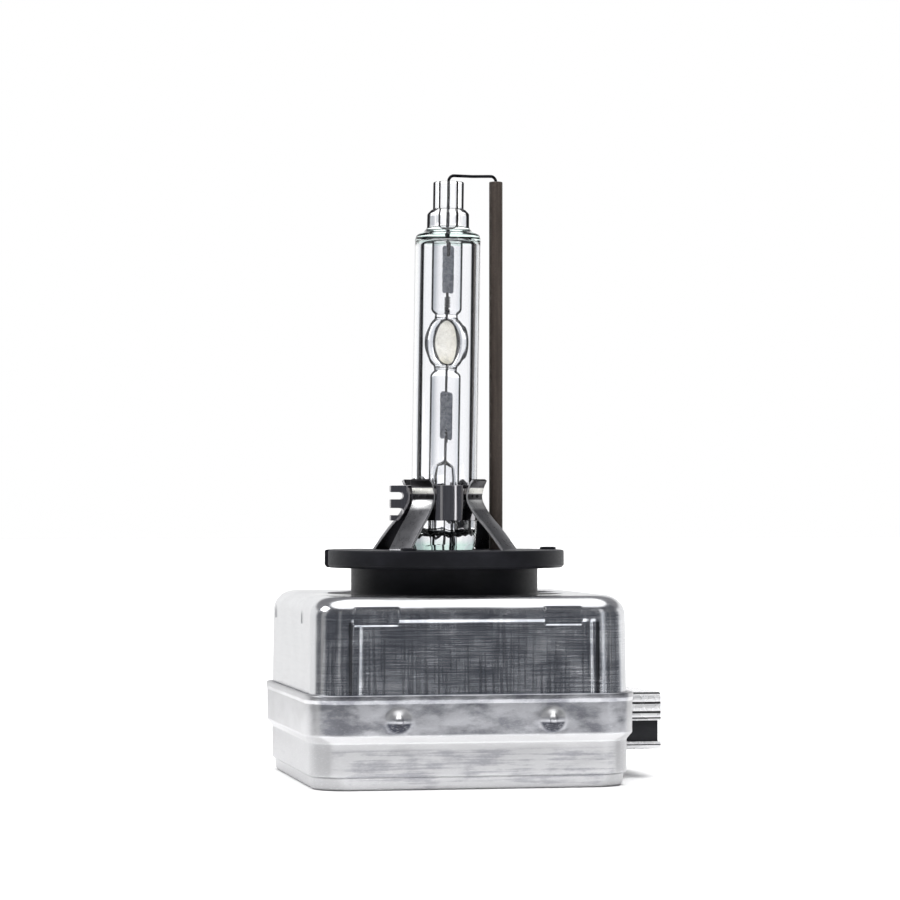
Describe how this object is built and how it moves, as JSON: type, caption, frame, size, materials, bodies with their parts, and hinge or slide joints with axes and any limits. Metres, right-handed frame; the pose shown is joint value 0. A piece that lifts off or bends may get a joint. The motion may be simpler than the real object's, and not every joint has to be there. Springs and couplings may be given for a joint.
{
  "type": "headlight bulb",
  "caption": "Gas-discharge headlight bulb: quartz burner in an outer tube, clamped on bent legs above a keyed base disc, on a square metal can holding the igniter, with a side plug socket.",
  "frame": {"origin": "on the lamp axis, at the flat underside of the can's bottom tray", "axes": "+Z along the lamp axis from the can towards the burner's open end; +X towards the plug socket's mouth"},
  "size_m": [0.0484, 0.0436, 0.0789],
  "materials": {
    "aluminium": "brushed, rolled sheet",
    "black_plastic": "moulded",
    "quartz": "fire polished",
    "tungsten": "drawn",
    "molybdenum": "dull, etched",
    "salt": "frosted deposit",
    "bright_wire": "drawn bright",
    "brown_ceramic": "fired, unglazed",
    "clamp_steel": "rolled stainless strip",
    "plated_shroud": "plated, bright",
    "tinned_copper": "tinned",
    "copper": "bare copper",
    "ferrite": "sintered",
    "bobbin_plastic": "moulded",
    "white_ceramic": "fired",
    "capacitor_epoxy": "dipped",
    "resistor_lacquer": "lacquered",
    "potting": "cast"
  },
  "bodies": {
    "root": {"shield_can": "aluminium", "bottom_tray": "aluminium", "lamp_base": "black_plastic", "outer_envelope": "quartz", "arc_tube": "quartz", "upper_electrode": "tungsten", "lower_electrode": "tungsten", "upper_foil": "molybdenum", "lower_foil": "molybdenum", "salt_fill": "salt", "upper_lead": "molybdenum", "lower_lead": "molybdenum", "return_lead": "bright_wire", "ceramic_tube": "brown_ceramic", "clamp_sleeve": "clamp_steel", "leg_rear_right": "clamp_steel", "leg_rear_left": "clamp_steel", "leg_front_left": "clamp_steel", "leg_front_right": "clamp_steel", "connector_shroud": "plated_shroud", "connector_body": "black_plastic", "connector_pin_left": "tinned_copper", "connector_pin_middle": "tinned_copper", "connector_pin_right": "tinned_copper", "igniter_housing": "black_plastic", "potting_slab": "potting", "housing_lid": "black_plastic", "transformer_core": "ferrite", "transformer_bobbin": "bobbin_plastic", "primary_winding": "copper", "secondary_winding_1": "copper", "secondary_winding_2": "copper", "secondary_winding_3": "copper", "secondary_winding_4": "copper", "secondary_winding_5": "copper", "spark_gap_body": "white_ceramic", "spark_gap_cap_left": "tinned_copper", "spark_gap_cap_right": "tinned_copper", "capacitor_body": "capacitor_epoxy", "capacitor_leg_left": "tinned_copper", "capacitor_leg_right": "tinned_copper", "resistor_body": "resistor_lacquer", "resistor_leg_left": "tinned_copper", "resistor_leg_right": "tinned_copper", "hv_contact": "tinned_copper", "hv_bus": "copper", "return_bus": "copper", "supply_bus": "copper"}
  },
  "joints": []
}
